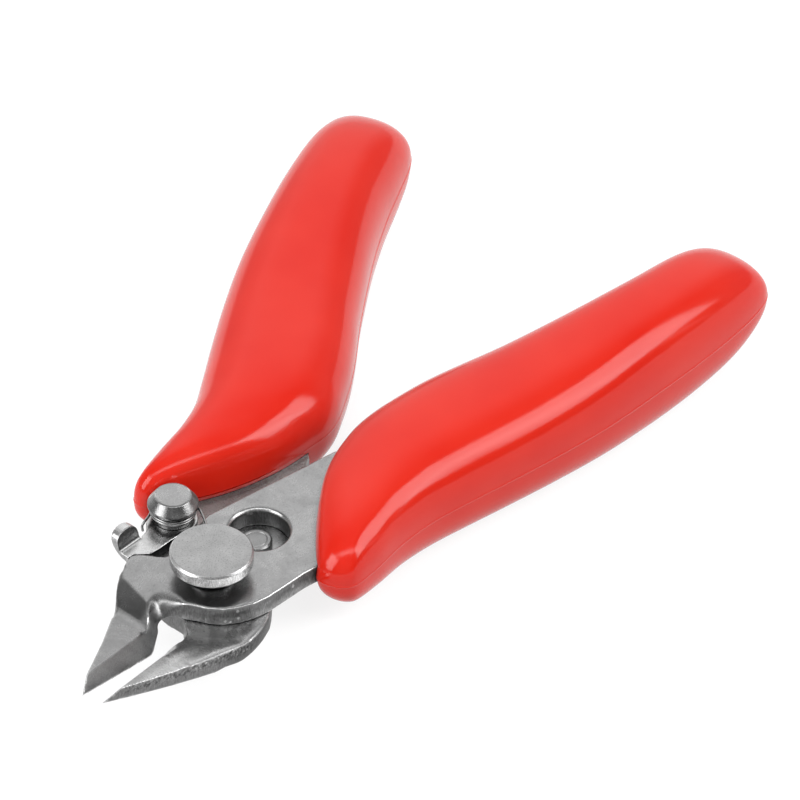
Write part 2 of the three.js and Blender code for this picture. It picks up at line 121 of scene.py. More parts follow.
def cut_away(bm, cutter):
    """Exact boolean difference of two bmeshes, which are used up; returns a new bmesh."""
    objects = []
    for part in (bm, cutter):
        mesh = bpy.data.meshes.new("tmp")
        bmesh.ops.recalc_face_normals(part, faces=part.faces)
        part.to_mesh(mesh)
        part.free()
        obj = bpy.data.objects.new("tmp", mesh)
        bpy.context.scene.collection.objects.link(obj)
        objects.append(obj)
    modifier = objects[0].modifiers.new("cut", "BOOLEAN")
    modifier.operation = "DIFFERENCE"
    modifier.solver = "EXACT"
    modifier.object = objects[1]
    depsgraph = bpy.context.evaluated_depsgraph_get()
    mesh = bpy.data.meshes.new_from_object(objects[0].evaluated_get(depsgraph))
    result = bmesh.new()
    result.from_mesh(mesh)
    for obj in objects:
        old = obj.data
        bpy.data.objects.remove(obj)
        bpy.data.meshes.remove(old)
    bpy.data.meshes.remove(mesh)
    return result


def prism_bm(outline, bottom, top):
    n = len(outline)
    points = [(x, y, bottom) for x, y in outline] + [(x, y, top) for x, y in outline]
    faces = [tuple(range(n - 1, -1, -1)), tuple(range(n, 2 * n))]
    faces += [(i, (i + 1) % n, n + (i + 1) % n, n + i) for i in range(n)]
    return bm_from(points, faces)


def side_faces(rings, around):
    """Quads between successive rings of points."""
    faces = []
    for ring in range(rings - 1):
        a, b = ring * around, (ring + 1) * around
        for i in range(around):
            j = (i + 1) % around
            faces.append((a + i, a + j, b + j, b + i))
    return faces


def lathe_bm(profile, x, y, segments):
    """Turns (radius, z) pairs about a vertical axis; the end pairs, on the axis, are left out."""
    profile = profile[1:-1]
    angles = [2 * math.pi * i / segments for i in range(segments)]
    points = [(x + r * math.cos(a), y + r * math.sin(a), z) for r, z in profile for a in angles]
    last = (len(profile) - 1) * segments
    faces = side_faces(len(profile), segments)
    faces += [tuple(range(segments)), tuple(range(last + segments - 1, last - 1, -1))]
    return bm_from(points, faces)


def fillet(corners):
    """Corners given as (radius, z, fillet) become curves; (radius, z) pairs stay as they are."""
    profile = []
    for i, corner in enumerate(corners):
        if len(corner) < 3:
            profile.append(corner)
            continue
        before, here, after = (Vector(c[:2]) for c in corners[i - 1:i + 2])
        back, ahead = before - here, after - here
        back_length, ahead_length = back.length, ahead.length
        back.normalize()
        ahead.normalize()
        cut = corner[2] / math.tan(back.angle(ahead) / 2)
        cut = min(cut, back_length * 0.48, ahead_length * 0.48)
        start, end = here + back * cut, here + ahead * cut
        for k in range(FILLET_STEPS + 1):
            t = k / FILLET_STEPS
            point = start * (1 - t) ** 2 + here * (2 * t * (1 - t)) + end * t ** 2
            profile.append((point.x, point.y))
    return profile


def curve(controls, steps):
    """Catmull-Rom points; the first and last controls only steer, and the end point is left out."""
    points = []
    for i in range(1, len(controls) - 2):
        a, b, c, d = controls[i - 1:i + 3]
        for k in range(steps):
            t = k / steps
            points.append(0.5 * ((2 * b) + (c - a) * t + (2 * a - 5 * b + 4 * c - d) * t * t
                                 + (3 * b - a - 3 * c + d) * t ** 3))
    return points


def wire_bm(points, radius):
    """A round wire along a smooth curve through the points."""
    points = [Vector(p) for p in points]
    controls = [points[0] * 2 - points[1], *points, points[-1] * 2 - points[-2]]
    path = [*curve(controls, WIRE_STEPS), points[-1]]
    tangent = (path[1] - path[0]).normalized()
    up = Vector((0, 0, 1)) if abs(tangent.z) < 0.9 else Vector((1, 0, 0))
    normal = (up - tangent * up.dot(tangent)).normalized()
    verts = []
    for i, centre in enumerate(path):
        tangent = (path[min(i + 1, len(path) - 1)] - path[max(i - 1, 0)]).normalized()
        normal = (normal - tangent * normal.dot(tangent)).normalized()
        across = tangent.cross(normal)
        for k in range(WIRE_SIDES):
            a = 2 * math.pi * k / WIRE_SIDES
            verts.append(centre + (normal * math.cos(a) + across * math.sin(a)) * radius)
    last = (len(path) - 1) * WIRE_SIDES
    faces = side_faces(len(path), WIRE_SIDES)
    faces.append(tuple(range(WIRE_SIDES - 1, -1, -1)))
    faces.append(tuple(last + k for k in range(WIRE_SIDES)))
    return bm_from(verts, faces)


# ------------------------------------------------------------------ shader node helpers
class Graph:
    """A node tree under construction. Inputs take a socket to link, a number or a tuple."""

    def __init__(self, owner):
        owner.use_nodes = True
        self.tree = owner.node_tree
        self.tree.nodes.clear()
        self.coord = self.add("ShaderNodeTexCoord")

    def feed(self, socket, value):
        if isinstance(value, bpy.types.NodeSocket):
            self.tree.links.new(value, socket)
        elif socket.type == "RGBA":  # a single number means grey
            rgb = value if isinstance(value, tuple) else (value,) * 3
            socket.default_value = (*rgb, 1)
        else:
            socket.default_value = value

    def add(self, kind, inputs=(), **settings):
        node = self.tree.nodes.new(kind)
        for key, value in settings.items():
            setattr(node, key, value)
        for key, value in dict(inputs).items():
            self.feed(node.inputs[key], value)
        return node

    def mapping(self, x=1, y=1, z=1):
        """Object coordinates in millimetres, stretched along each axis."""
        return self.add("ShaderNodeMapping", {
            "Scale": [x * 1000, y * 1000, z * 1000],
            "Vector": self.coord.outputs["Object"]}).outputs["Vector"]

    def noise(self, vector, scale, detail=3.0, rough=0.5, distortion=0.0):
        return self.add("ShaderNodeTexNoise", {
            "Scale": scale, "Detail": detail, "Roughness": rough, "Distortion": distortion,
            "Vector": vector}).outputs["Fac"]

    def ramp(self, value, *stops):
        """Maps a value to greys through (position, grey) stops."""
        node = self.add("ShaderNodeValToRGB", {"Fac": value})
        elements = node.color_ramp.elements
        while len(elements) < len(stops):
            elements.new(0.5)
        for element, (position, grey) in zip(elements, stops):
            element.position = position
            element.color = (grey, grey, grey, 1)
        return node.outputs["Color"]

    def math(self, operation, *values):
        return self.add("ShaderNodeMath", enumerate(values), operation=operation).outputs[0]

    def mix(self, share, a, b, kind="MIX"):
        """Goes from colour a to colour b by the share."""
        return self.add("ShaderNodeMix", {0: share, 6: a, 7: b},
                        data_type="RGBA", blend_type=kind).outputs[2]

    def multiply(self, colour, by, share):
        return self.mix(share, colour, by, "MULTIPLY")

    def occlusion(self, reach_mm):
        node = self.add("ShaderNodeAmbientOcclusion", {"Distance": reach_mm * MM}, samples=6)
        return node.outputs["AO"]

    def bump(self, height, strength, depth_mm, normal=None):
        inputs = {"Strength": strength, "Distance": depth_mm * MM, "Height": height}
        if normal is not None:
            inputs["Normal"] = normal
        return self.add("ShaderNodeBump", inputs).outputs["Normal"]


class Material(Graph):
    def __init__(self, name):
        self.material = bpy.data.materials.new(name)
        super().__init__(self.material)
        self.shader = self.add("ShaderNodeBsdfPrincipled")
        self.add("ShaderNodeOutputMaterial", {"Surface": self.shader.outputs["BSDF"]})

    def finish(self, inputs):
        for key, value in inputs.items():
            self.feed(self.shader.inputs[key], value)
        return self.material


# ------------------------------------------------------------------ materials
def steel(name, *, face, wall, rough, wall_rough, edge, grain=(1.2, 9.0, 9.0), speckle=0.5,
          recess_shading=0.6, toned=False):
    """Ground or tumbled steel.

    face, wall: grey of level faces and of upright walls; rough, wall_rough: their roughness.
    edge: brightness of the bright edges, partly real wear and partly a painted highlight. grain:
    stretch of the grinding marks along x, y and z.
    speckle, recess_shading: strength of the pits and of the painted shade in recesses.
    toned: also reads the mesh's "painted_light_and_tone" (a factor holding tone together with
    painted light and shade) and "band" (torn metal) attributes.
    """
    graph = Material(name)
    ramp, multiply = graph.ramp, graph.multiply
    geometry = graph.add("ShaderNodeNewGeometry").outputs

    def levelness(normal):
        split = graph.add("ShaderNodeSeparateXYZ", {0: geometry[normal]})
        return graph.math("ABSOLUTE", split.outputs["Z"])

    is_face = ramp(levelness("True Normal"), (0.45, 0.0), (0.75, 1.0))
    is_wall = graph.math("SUBTRACT", 1.0, is_face)
    plain = graph.mapping()
    marks = graph.noise(graph.mapping(*grain), scale=2.6, detail=5.0, rough=0.62)
    cloud = graph.noise(plain, scale=0.42, detail=3.0, rough=0.55, distortion=0.4)
    spots = graph.noise(plain, scale=7.5, detail=2.0, rough=0.6)
    grit = graph.noise(plain, scale=16.0, detail=4.0, rough=0.7)
    pits = ramp(spots, (0.30, 0.0), (0.43, 1.0))
    upright = graph.mapping(x=3.0, y=3.0, z=0.7)
    shear = graph.noise(upright, scale=3.2, detail=4.0, rough=0.7, distortion=0.3)

    # base colour, mottled, ground and pitted; walls carry upright shear marks
    colour = graph.mix(is_face, wall, face)
    colour = multiply(colour, ramp(cloud, (0.3, 0.72), (0.7, 1.28)), share=0.55)
    colour = multiply(colour, ramp(marks, (0.25, 0.74), (0.75, 1.22)), share=0.5)
    dark_pits = ramp(pits, (0.0, 0.42), (1.0, 1.0))
    speckles = multiply(dark_pits, ramp(grit, (0.3, 0.8), (0.7, 1.15)), share=1.0)
    colour = multiply(colour, speckles, share=speckle)
    wall_share = graph.math("MULTIPLY", is_wall, 0.8)
    colour = multiply(colour, ramp(shear, (0.32, 0.45), (0.62, 1.25)), share=wall_share)

    # bright edges, partly real wear and partly a painted highlight, where the smoothed normal tips
    # away from level, and painted shade in recesses
    tipped = ramp(levelness("Normal"), (0.988, 1.0), (0.9992, 0.0))
    # bright edges: partly real wear, partly a painted highlight along them
    wear_and_highlight = graph.math("MULTIPLY", ramp(geometry["Pointiness"], (0.508, 0.0), (0.555, 1.0)), tipped)
    worn_highlight_grey = 0.82
    colour = graph.mix(graph.math("MULTIPLY", wear_and_highlight, edge), colour, worn_highlight_grey)
    # painted shade: darker where occlusion finds nearby surfaces
    painted_recess_shade = ramp(graph.occlusion(reach_mm=0.9), (0.25, 0.28), (0.85, 1.0))
    colour = multiply(colour, painted_recess_shade, share=recess_shading)
    tint = (1.0, 1.0, 1.0)
    colour = multiply(colour, tint, share=1.0)

    if toned:
        # the mesh's tone factor, which also carries painted light and shade by region
        painted_light_and_tone, torn = (graph.add("ShaderNodeAttribute", attribute_type="GEOMETRY",
                                attribute_name=key).outputs["Fac"] for key in ("painted_light_and_tone", "band"))
        tone_gain = 1.0
        colour = multiply(colour, graph.math("MULTIPLY", painted_light_and_tone, tone_gain), share=1.0)
        crumbs = graph.noise(plain, scale=3.1, detail=3.0, rough=0.65)
        crumbs = ramp(crumbs, (0.40, 0.38), (0.52, 1.0), (0.62, 1.25))
        colour = multiply(colour, crumbs, share=torn)

    roughness = graph.mix(is_face, wall_rough, rough)
    roughness = multiply(roughness, ramp(cloud, (0.25, 0.7), (0.75, 1.3)), share=0.6)
    roughness = multiply(roughness, ramp(marks, (0.25, 0.75), (0.75, 1.25)), share=0.5)
    normal = graph.bump(marks, strength=0.30, depth_mm=0.012)
    normal = graph.bump(grit, strength=0.22, depth_mm=0.010, normal=normal)
    normal = graph.bump(pits, strength=0.5 * speckle, depth_mm=0.010, normal=normal)
    wall_shear = graph.math("MULTIPLY", shear, is_wall)
    normal = graph.bump(wall_shear, strength=0.55, depth_mm=0.05, normal=normal)
    return graph.finish({"Base Color": colour, "Metallic": 1.0, "Roughness": roughness,
                         "Normal": normal})


def vinyl(name):
    """Glossy red dipped vinyl."""
    graph = Material(name)
    plain = graph.mapping()
    cloud = graph.noise(plain, scale=0.10, detail=2.0, rough=0.5)
    peel = graph.noise(plain, scale=0.9, detail=2.0, rough=0.5)
    fine = graph.noise(plain, scale=9.0, detail=3.0, rough=0.6)
    deep_red, bright_red = (0.83, 0.020, 0.008), (0.87, 0.029, 0.013)
    colour = graph.mix(graph.ramp(cloud, (0.35, 0.0), (0.65, 1.0)), deep_red, bright_red)
    # painted shade: darker where occlusion finds nearby surfaces, in hollows and beside the steel
    painted_recess_shade = graph.ramp(graph.occlusion(reach_mm=1.2), (0.2, 0.35), (0.8, 1.0))
    colour = graph.multiply(colour, painted_recess_shade, share=0.8)

    # nearly grey to reflected and scattered rays, so that steel and paper beside it stay neutral
    rays = graph.add("ShaderNodeLightPath").outputs
    indirect = graph.math("MAXIMUM", rays["Is Glossy Ray"], rays["Is Diffuse Ray"])
    neutral, neutral_share = (0.52, 0.47, 0.46), 0.85
    colour = graph.mix(graph.math("MULTIPLY", indirect, neutral_share), colour, neutral)

    normal = graph.bump(peel, strength=0.10, depth_mm=0.05)
    normal = graph.bump(fine, strength=0.05, depth_mm=0.01, normal=normal)
    return graph.finish({
        "Base Color": colour, "Roughness": graph.ramp(fine, (0.3, 0.12), (0.7, 0.17)), "IOR": 1.42,
        "Subsurface Weight": 0.12, "Subsurface Radius": (1.0, 0.12, 0.06),
        "Subsurface Scale": 1.0 * MM, "Coat Weight": 0.0, "Coat Roughness": 0.10,
        "Normal": normal})


def paper(name):
    """White floor paper: bright to the camera, dimmer as a light and in reflections."""
    graph = Material(name)
    cloud = graph.noise(graph.mapping(), scale=0.05, detail=2.0)
    to_camera = graph.add("ShaderNodeLightPath").outputs["Is Camera Ray"]
    to_gloss = graph.add("ShaderNodeLightPath").outputs["Is Glossy Ray"]
    as_light, in_gloss, in_view = 0.20, 0.50, 0.62
    glow = graph.mix(to_camera, graph.mix(to_gloss, as_light, in_gloss), in_view)
    return graph.finish({"Base Color": graph.ramp(cloud, (0.3, 0.34), (0.7, 0.36)),
                         "Roughness": 0.8, "Emission Color": (1, 1, 1),
                         "Emission Strength": glow})


UPPER_STEEL = steel("plate_steel_ground", face=0.46, wall=0.34, rough=0.25, wall_rough=0.38,
                    edge=0.95, toned=True)
LOWER_STEEL = steel("plate_steel_ground_lower", face=0.52, wall=0.22, rough=0.27, wall_rough=0.40,
                    grain=(9.0, 1.2, 9.0), edge=0.6, recess_shading=0.3, toned=True)
RIVET_STEEL = steel("rivet_steel_tumbled", face=0.52, wall=0.85, rough=0.36, wall_rough=0.24,
                    grain=(3.0, 3.0, 3.0), speckle=0.9, edge=0.8)
POST_STEEL = steel("post_steel_turned", face=0.47, wall=0.11, rough=0.26, wall_rough=0.20,
                   grain=(2.0, 2.0, 2.0), speckle=0.3, edge=0.8, recess_shading=0.8)
PIN_STEEL = steel("pin_steel_dull", face=0.42, wall=0.30, rough=0.36, wall_rough=0.40,
                  speckle=0.7, edge=0.6, recess_shading=0.8)
SPRING_STEEL = steel("spring_wire_drawn", face=0.46, wall=0.40, rough=0.22, wall_rough=0.24,
                     speckle=0.1, edge=0.1, recess_shading=0.8)
LEVER_STEEL = steel("latch_steel_tumbled", face=0.78, wall=0.48, rough=0.27, wall_rough=0.30,
                    speckle=0.35, edge=0.8, toned=True)
VINYL = vinyl("grip_vinyl_gloss")


# ------------------------------------------------------------------ fields over point arrays
# co and nrm are arrays of points and normals, one per row, in mm.
def rise(value, start, end):
    """Smoothly from 0 at start to 1 at end; end may be the lower one."""
    t = np.clip((value - start) / (end - start), 0.0, 1.0)
    return t * t * (3 - 2 * t)


def fade(value, start, end):
    return 1 - rise(value, start, end)


def toward(value, target, share):
    return value * (1 - share) + share * target


def distance(co, axis):
    return np.hypot(co[:, 0] - axis[0], co[:, 1] - axis[1])


def near(co, axis, full, none):
    """1 within the full radius of an upright axis, 0 beyond the none radius."""
    return fade(distance(co, axis), full, none)


def lattice(p, seed=0):
    """Smooth value noise from -1 to 1 at an array of points."""
    cell = np.floor(p).astype(np.int64)
    f = p - cell
    f = f * f * (3 - 2 * f)

    def at_corner(dx, dy, dz):
        n = ((cell[:, 0] + dx) * 73856093 ^ (cell[:, 1] + dy) * 19349663
             ^ (cell[:, 2] + dz) * 83492791 ^ (seed * 2654435))
        n = (n ^ (n >> 13)) & 0x7FFFFFFF
        n = (n * 1103515 + 12345) & 0x7FFFFFFF
        n = (n ^ (n >> 11)) & 0xFFFFF
        return n / 524288.0 - 1.0

    total = 0.0
    for dx in (0, 1):
        for dy in (0, 1):
            for dz in (0, 1):
                weight = ((f[:, 0] if dx else 1 - f[:, 0]) * (f[:, 1] if dy else 1 - f[:, 1])
                          * (f[:, 2] if dz else 1 - f[:, 2]))
                total = total + weight * at_corner(dx, dy, dz)
    return total


def rough_noise(p, seed):
    """Three octaves of lattice noise."""
    return (lattice(p, seed) + 0.5 * lattice(p * 2.1 + 3.3, seed + 1)
            + 0.25 * lattice(p * 4.3 + 1.7, seed + 2))


# ------------------------------------------------------------------ pressed pieces
def vectors(mesh, what="co"):
    values = np.empty(len(mesh.vertices) * 3, np.float32)
    mesh.vertices.foreach_get(what, values)
    return values.reshape(-1, 3).astype(np.float64)


def set_points(mesh, co):
    mesh.vertices.foreach_set("co", co.astype(np.float32).ravel())
    mesh.update()


def modified(mesh, kind, **settings):
    """The mesh after one modifier; the mesh given is removed."""
    obj = bpy.data.objects.new("tmp", mesh)
    bpy.context.scene.collection.objects.link(obj)
    modifier = obj.modifiers.new("m", kind)
    for key, value in settings.items():
        setattr(modifier, key, value)
    depsgraph = bpy.context.evaluated_depsgraph_get()
    result = bpy.data.meshes.new_from_object(obj.evaluated_get(depsgraph))
    bpy.data.objects.remove(obj)
    bpy.data.meshes.remove(mesh)
    return result


def relax(co, edges, degree, weight, passes):
    """Moves weighted points, in place, towards the mean of their neighbours."""
    moving = weight > 0
    edges = edges[moving[edges[:, 0]] | moving[edges[:, 1]]]
    used, edges = np.unique(edges, return_inverse=True)
    edges = edges.reshape(-1, 2)
    n = len(used)
    pull, degree = (0.5 * weight[used])[:, None], degree[used]
    p = co[used]
    for _ in range(passes):
        total = np.stack([np.bincount(edges[:, 0], p[edges[:, 1], k], n)
                          + np.bincount(edges[:, 1], p[edges[:, 0], k], n) for k in range(3)], 1)
        p += pull * (total / degree - p)
    co[used] = p


def even(weight):
    return lambda co: np.full(len(co), weight)


def add_pressed(name, node, body, material, *, voxel, rounds, finish, tones, keep_share,
                push=None):
    """A CAD node's solid with edges rounded as pressing leaves them, fine enough for relief.

    voxel: remesh size in mm. rounds: (weight field, relaxing passes) pairs. push: outward relief
    in mm. finish: trims the points. tones: gives the "painted_light_and_tone" attribute, which
    holds tone with painted light and shade, and the "band" attribute. keep_share: share of the
    faces that is kept.
    """
    bm = bmesh.new()
    bm.from_mesh(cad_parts[node].data)
    bmesh.ops.scale(bm, vec=(1000.0,) * 3, verts=bm.verts)
    bmesh.ops.translate(bm, vec=(0, 0, LIFT), verts=bm.verts)
    bmesh.ops.remove_doubles(bm, verts=bm.verts, dist=0.003)
    mesh = bpy.data.meshes.new("tmp")
    bm.to_mesh(mesh)
    bm.free()
    mesh = modified(mesh, "REMESH", mode="VOXEL", voxel_size=voxel, adaptivity=0.0)
    co = vectors(mesh)
    edges = np.empty(len(mesh.edges) * 2, np.int32)
    mesh.edges.foreach_get("vertices", edges)
    edges = edges.reshape(-1, 2)
    degree = np.bincount(edges.ravel(), minlength=len(co)).astype(float)[:, None]
    for weight, passes in rounds:
        relax(co, edges, degree, weight(co), passes)
    if push:
        set_points(mesh, co)
        nrm = vectors(mesh, "normal")
        co = co + nrm * push(co, nrm)[:, None]
    set_points(mesh, finish(co))
    mesh = modified(mesh, "DECIMATE", decimate_type="COLLAPSE", ratio=keep_share)
    co = vectors(mesh)
    painted_light_and_tone, band = tones(co, vectors(mesh, "normal"))
    for key, values in (("painted_light_and_tone", painted_light_and_tone), ("band", band)):
        attribute = mesh.attributes.new(key, "FLOAT", "POINT")
        attribute.data.foreach_set("value", values.astype(np.float32))
    set_points(mesh, (co - (0, 0, LIFT)) * MM)
    mesh.shade_smooth()
    mesh.name = name
    attach(name, mesh, body, node, material)


# ------------------------------------------------------------------ the two plates
def plane_through(p, q, r):
    """Upward unit normal and offset of the plane through three points."""
    p, q, r = (np.array(v, float) for v in (p, q, r))
    n = np.cross(q - p, r - p)
    n /= np.linalg.norm(n) * (1 if n[2] > 0 else -1)
    return n, -n.dot(p)


# slopes that lead from each plate's flat down to its jaw
UPPER_RAMP = plane_through((-4.16, 7.81, 2.1), (-6.5, 3.28, 2.1), (-8.65, 4.05, 1.05))
LOWER_RAMP = plane_through((-4.16, -7.81, -0.02), (-6.5, -3.28, -0.02), (-8.65, -4.05, 1.05))


def above(plane, co):
    return co @ plane[0] + plane[1]


def jaw_top(x):
    return 1.05 + (-x - 8.65) * 0.2656


def jaw_bottom(x):
    return np.maximum(-1.05 + (-x - 9.0) * 0.33, -2.1)


def over_jaw_top(co):
    """Distance above the sloping top of the jaws; 0.966 is the cosine of their slope."""
    return (co[:, 2] - jaw_top(co[:, 0])) * 0.966


def from_crease(ramp, co):
    """Distance from the line where a ramp meets the jaw top."""
    return np.maximum(np.abs(above(ramp, co)), np.abs(over_jaw_top(co)))


def upper_plate():
    def edges(co):  # the cutting side of the jaw stays crisp
        return np.where((co[:, 0] < -10.2) & (co[:, 1] < 2.6), 0.28, 0.9)

    def soft(co):
        x, _, z = co.T
        crease = fade(from_crease(UPPER_RAMP, co), 0.25, 0.75) * (z > 0.2)
        kept = near(co, (-6.75, 3.5), full=0.3, none=0.8)
        scoop = near(co, (-5.9, 1.8), full=1.35, none=2.1) * (z > -1.2) * (1 - kept)
        corner = near(co, (-4.1, 7.85), full=0.5, none=1.3) * (z > 0.6)
        return np.clip(crease + scoop + corner, 0, 1) * (x > -11.5)

    def throat(co):
        return near(co, (-5.95, 1.8), full=1.2, none=1.75) * (co[:, 2] > -1.2)

    def is_wall(co, nrm):  # outer walls behind the jaw, without the bores
        clear_of_bores = (distance(co, OPENING_AT) > 3.5) * (distance(co, (0, 0)) > 2.3)
        return fade(np.abs(nrm[:, 2]), 0.25, 0.5) * clear_of_bores * (co[:, 0] > -5.2)

    def push(co, nrm):  # upright shear marks, a torn lower part, and pits
        low = fade(co[:, 2], 0.7, 1.3)
        shear = 0.006 * lattice(co * (4.5, 4.5, 0.6), seed=3)
        torn = 0.012 * low * rough_noise(co * 2.6, seed=4)
        pits = np.maximum(0, lattice(co * (3.2, 3.2, 4.5), seed=9) - 0.25)
        return is_wall(co, nrm) * (shear + torn - 0.05 * pits * (0.35 + low))

    def finish(co):  # flat faces behind the jaw
        co[:, 2] = np.where(co[:, 0] > -3.9, np.clip(co[:, 2], PLATE_GAP, PLATE_TOP), co[:, 2])
        return co

    def tones(co, nrm):
        x, y, z = co.T
        jaw = over_jaw_top(co)
        # painted shade: the top face darkens towards the jaw
        painted_light_and_tone = 1 - 0.14 * rise(x, 6.0, -3.0) * (z > 1.9)
        # painted shade on the wall of the round opening
        painted_light_and_tone = np.where((distance(co, OPENING_AT) < 3.1) & (np.abs(nrm[:, 2]) < 0.6), 0.55, painted_light_and_tone)
        # slope down to the jaw
        slope = (rise(jaw, 0.02, 0.35) * fade(z, 1.98, 2.07) * rise(y, 2.5, 3.3)
                 * (x < -3.9) * (nrm[:, 2] > 0.3))
        painted_light_and_tone = toward(painted_light_and_tone, 0.36 + 0.24 * rise(x, -8.2, -4.3), slope)
        # top of the jaw
        painted_light_and_tone = np.where((jaw < 0.3) & (x < -7.6) & (nrm[:, 2] > 0.6), 0.82, painted_light_and_tone)
        # scoop at the throat
        scoop = near(co, (-5.8, 1.6), full=1.6, none=2.3) * fade(z, 1.8, 2.06)
        painted_light_and_tone = toward(painted_light_and_tone, 0.60, scoop)
        # side of the jaw that faces -y
        painted_light_and_tone = np.where((x < -7.0) & (nrm[:, 1] < -0.35) & (jaw < 0.0), 1.0, painted_light_and_tone)
        # walls: dark above, brighter and patchy below
        wall = is_wall(co, nrm)
        patches = 0.25 * rough_noise(co * 1.3, seed=8) * (z < 1.5)
        wall_tone = np.clip(wall * (0.55 + 0.45 * rise(z, 1.3, 0.4) + patches), 0.3, 1.15)
        return np.where(wall > 0.4, wall_tone, painted_light_and_tone), np.zeros(len(co))

    add_pressed("upper_half_steel", "upper_half", "upper_body", UPPER_STEEL,
                voxel=0.1, rounds=[(edges, 5), (soft, 55), (throat, 190), (even(0.5), 2)],
                push=push, finish=finish, tones=tones, keep_share=0.42)


def lower_plate():
    def edges(co):  # the cutting side of the jaw stays crisp
        return np.where((co[:, 0] < -10.2) & (co[:, 1] > -2.6), 0.28, 0.9)

    def soft(co):
        x, y, z = co.T
        crease = fade(from_crease(LOWER_RAMP, co), 0.35, 1.0) * (z > 0.1)
        heel = near(co, (-4.6, -6.4), full=2.8, none=4.8) * (y < -3.2)
        from_foot = np.maximum(np.abs(above(LOWER_RAMP, co)), np.abs(z))
        foot = fade(from_foot, 0.2, 0.8) * (x < -2.0)
        return np.clip(crease + heel + foot, 0, 1) * (x > -12.5) * (x < 2.0)

    def is_wall(co, nrm):
        return fade(np.abs(nrm[:, 2]), 0.3, 0.6) * (co[:, 1] < -1.2) * (co[:, 0] < 4.0)

    def torn_band(co, nrm):  # along the upper part of the jaw's -y wall
        x, _, z = co.T
        top, bottom = jaw_top(x), jaw_bottom(x)
        height = (z - bottom) / np.maximum(0.3, top - bottom)
        return (is_wall(co, nrm) * rise(height, 0.40, 0.52) * fade(height, 0.86, 0.96)
                * rise(x, -21.8, -19.0) * fade(x, -5.0, -2.5))

    def push(co, nrm):  # chips torn out of the band, fine upright marks on the wall
        chips = np.maximum(0, rough_noise(co * (2.4, 2.4, 3.2), seed=6) - 0.12)
        shear = 0.006 * rough_noise(co * (3.5, 3.5, 0.8), seed=2)
        return -0.13 * torn_band(co, nrm) * np.minimum(chips, 0.9) + is_wall(co, nrm) * shear

    def finish(co):  # flat faces behind the jaw
        x, y, z = co.T
        z = np.where((x > -3.9) & (y > -3.2), np.minimum(z, -PLATE_GAP), z)
        co[:, 2] = np.where(x > 1.0, np.clip(z, -PLATE_TOP, -PLATE_GAP), z)
        return co

    def tones(co, nrm):
        x, y, z = co.T
        wall_tone = 1.0 - 0.42 * rise(x, -10.5, -6.0)
        painted_light_and_tone = toward(np.ones(len(co)), wall_tone, is_wall(co, nrm))
        jaw_face = (nrm[:, 2] > 0.35) & (z > 0.0) & (x < 2)
        # painted light: the jaw's upward faces brightened to 1.28, falling to 0.93 towards the
        # throat
        painted_light_and_tone = np.where(jaw_face, 1.28 - 0.35 * fade(-y, 2.35, 3.1), painted_light_and_tone)
        return painted_light_and_tone, torn_band(co, nrm)

    add_pressed("lower_half_steel", "lower_half", "lower_body", LOWER_STEEL,
                voxel=0.1, rounds=[(edges, 5), (soft, 90), (even(0.5), 2)],
                push=push, finish=finish, tones=tones, keep_share=0.42)


upper_plate()
lower_plate()

# ------------------------------------------------------------------ turned pieces
# Corners from the bottom up: radius, z, and a fillet radius where the corner is rounded.
RIVET = [
    (0, -2.85), (2.35, -2.85, 0.3), (2.95, -2.6, 0.3), (3.1, -2.3, 0.1), (3.1, -2.15, 0.05),
    (1.7, -2.15), (1.7, 2.15), (1.9, 2.15), (1.9, 3.46), (3.72, 3.46, 0.12), (4.06, 3.82, 0.25),
    (4.06, 4.80, 0.16), (3.86, 5.055, 0.10), (3.3, 5.066), (2.6, 5.073), (1.8, 5.077),
    (0.9, 5.079), (0.3, 5.08), (0, 5.08),
]
POST = [
    (0, -2.06), (1.5, -2.06, 0.1), (1.5, 1.22), (1.85, 1.22), (1.85, 2.78), (2.40, 2.78, 0.08),
    (2.48, 2.86, 0.08), (2.48, 3.06, 0.06), (2.42, 3.16, 0.05), (1.80, 4.02, 0.10),
    (1.62, 4.085, 0.06), (1.2, 4.093), (0.7, 4.098), (0.25, 4.10), (0, 4.10),
]
PIN = [
    (0, -2.04), (1.2, -2.04, 0.1), (1.2, 0.0), (1.55, 0.0), (1.55, 0.50, 0.1),
    (1.37, 0.68, 0.06), (1.12, 0.68, 0.03), (1.05, 0.60, 0.03), (0.98, 0.66, 0.05), (0, 0.68),
]
# slot in the -x side of the rivet's neck: outline in x, y
RIVET_SLOT = [(-3.0, -0.5), (-0.7, -0.5), (-0.7, 0.5), (-3.0, 0.5)]
RIVET_SLOT_BOTTOM, RIVET_SLOT_TOP = 2.45, 3.3


def add_turned(node, bm, material):
    add_solid(node + "_steel", bm, "lower_body", node, material, smooth_degrees=40)


rivet = cut_away(lathe_bm(fillet(RIVET), 0, 0, segments=160),
                 prism_bm(RIVET_SLOT, RIVET_SLOT_BOTTOM, RIVET_SLOT_TOP))
add_turned("pivot_rivet", rivet, RIVET_STEEL)
add_turned("latch_post", lathe_bm(fillet(POST), *POST_AT, segments=128), POST_STEEL)
add_turned("stop_pin", lathe_bm(fillet(PIN), *PIN_AT, segments=96), PIN_STEEL)


# ------------------------------------------------------------------ springs
def add_spring(node, points, radius, body, z, other_body, other_z):
    """A wire spring baked in place; body, z, other_body and other_z are not used."""
    body = (body, other_body, (0, 0, (z - LIFT) * MM), (0, 0, (other_z - LIFT) * MM))
    add_solid(node + "_wire", wire_bm(points, radius), body, node, SPRING_STEEL,
              smooth_degrees=60)


